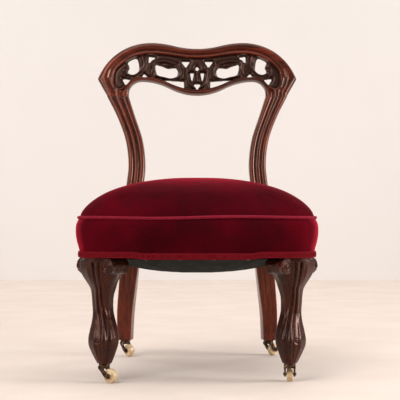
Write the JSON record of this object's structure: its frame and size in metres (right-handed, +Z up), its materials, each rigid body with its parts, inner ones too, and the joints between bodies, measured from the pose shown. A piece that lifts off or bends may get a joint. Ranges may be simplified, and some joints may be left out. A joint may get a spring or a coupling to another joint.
{
  "type": "boudoir chair",
  "caption": "Low armless upholstered boudoir chair with a pierced carved crest rail, waisted uprights, sprung domed seat, carved front legs and swivelling castors.",
  "frame": {"origin": "on the floor, under the middle of the chair's bounding box", "axes": "+Z up, -Y to the front of the seat, +X to the right as seen from the front"},
  "size_m": [0.5036, 0.5466, 0.7804],
  "materials": {
    "show_wood": "dark polished mahogany",
    "frame_wood": "plain beech",
    "china": "cream glazed china",
    "castor_brass": "browned brass",
    "velvet": "crimson velvet pile",
    "piping": "corded velvet",
    "gimp": "woven braid",
    "hair": "curled hair",
    "hessian": "plain sacking",
    "webbing": "jute webbing",
    "bottom_cloth": "dark linen",
    "spring_steel": "coppered steel wire",
    "screw_steel": "plain steel"
  },
  "bodies": {
    "chair": {"back_brace_left": "frame_wood", "back_brace_right": "frame_wood", "back_stile_left": "show_wood", "back_stile_right": "show_wood", "bottom_cloth": "bottom_cloth", "bottom_cloth_tacks": "screw_steel", "brace_screws": "screw_steel", "castor_plate_back_left": "castor_brass", "castor_plate_back_right": "castor_brass", "castor_plate_front_left": "castor_brass", "castor_plate_front_right": "castor_brass", "crest_dowels": "frame_wood", "crest_rail": "show_wood", "front_brace_left": "frame_wood", "front_brace_right": "frame_wood", "front_leg_left": "show_wood", "front_leg_right": "show_wood", "front_seat_rail": "frame_wood", "gimp_braid": "gimp", "rear_seat_rail": "frame_wood", "seat_border": "velvet", "seat_cover": "velvet", "seat_piping": "piping", "seat_springs": "spring_steel", "seat_stuffing": "hair", "side_rail_left": "frame_wood", "side_rail_right": "frame_wood", "spring_hessian": "hessian", "webbing_crosswise": "webbing", "webbing_lengthwise": "webbing"},
    "castor_front_left": {"castor_fork_front_left": "castor_brass", "castor_axle_front_left": "castor_brass"},
    "wheel_front_left": {"castor_wheel_front_left": "china"},
    "castor_front_right": {"castor_fork_front_right": "castor_brass", "castor_axle_front_right": "castor_brass"},
    "wheel_front_right": {"castor_wheel_front_right": "china"},
    "castor_back_left": {"castor_fork_back_left": "castor_brass", "castor_axle_back_left": "castor_brass"},
    "wheel_back_left": {"castor_wheel_back_left": "china"},
    "castor_back_right": {"castor_fork_back_right": "castor_brass", "castor_axle_back_right": "castor_brass"},
    "wheel_back_right": {"castor_wheel_back_right": "china"}
  },
  "joints": [
    {"name": "swivel_front_left", "type": "hinge", "parent": "chair", "child": "castor_front_left", "pos_m": [-0.1917, -0.208, 0.037], "axis": [0, 0, 1], "continuous": true},
    {"name": "spin_front_left", "type": "hinge", "parent": "castor_front_left", "child": "wheel_front_left", "pos_m": [-0.17777, -0.21775, 0.015], "axis": [0.5736, 0.8192, 0], "continuous": true},
    {"name": "swivel_front_right", "type": "hinge", "parent": "chair", "child": "castor_front_right", "pos_m": [0.1917, -0.208, 0.037], "axis": [0, 0, 1], "continuous": true},
    {"name": "spin_front_right", "type": "hinge", "parent": "castor_front_right", "child": "wheel_front_right", "pos_m": [0.19318, -0.19107, 0.015], "axis": [-0.9962, 0.0872, 0], "continuous": true},
    {"name": "swivel_back_left", "type": "hinge", "parent": "chair", "child": "castor_back_left", "pos_m": [-0.177, 0.236, 0.037], "axis": [0, 0, 1], "continuous": true},
    {"name": "spin_back_left", "type": "hinge", "parent": "castor_back_left", "child": "wheel_back_left", "pos_m": [-0.16725, 0.22207, 0.015], "axis": [0.8192, 0.5736, 0], "continuous": true},
    {"name": "swivel_back_right", "type": "hinge", "parent": "chair", "child": "castor_back_right", "pos_m": [0.177, 0.236, 0.037], "axis": [0, 0, 1], "continuous": true},
    {"name": "spin_back_right", "type": "hinge", "parent": "castor_back_right", "child": "wheel_back_right", "pos_m": [0.18793, 0.24902, 0.015], "axis": [-0.766, 0.6428, 0], "continuous": true}
  ]
}
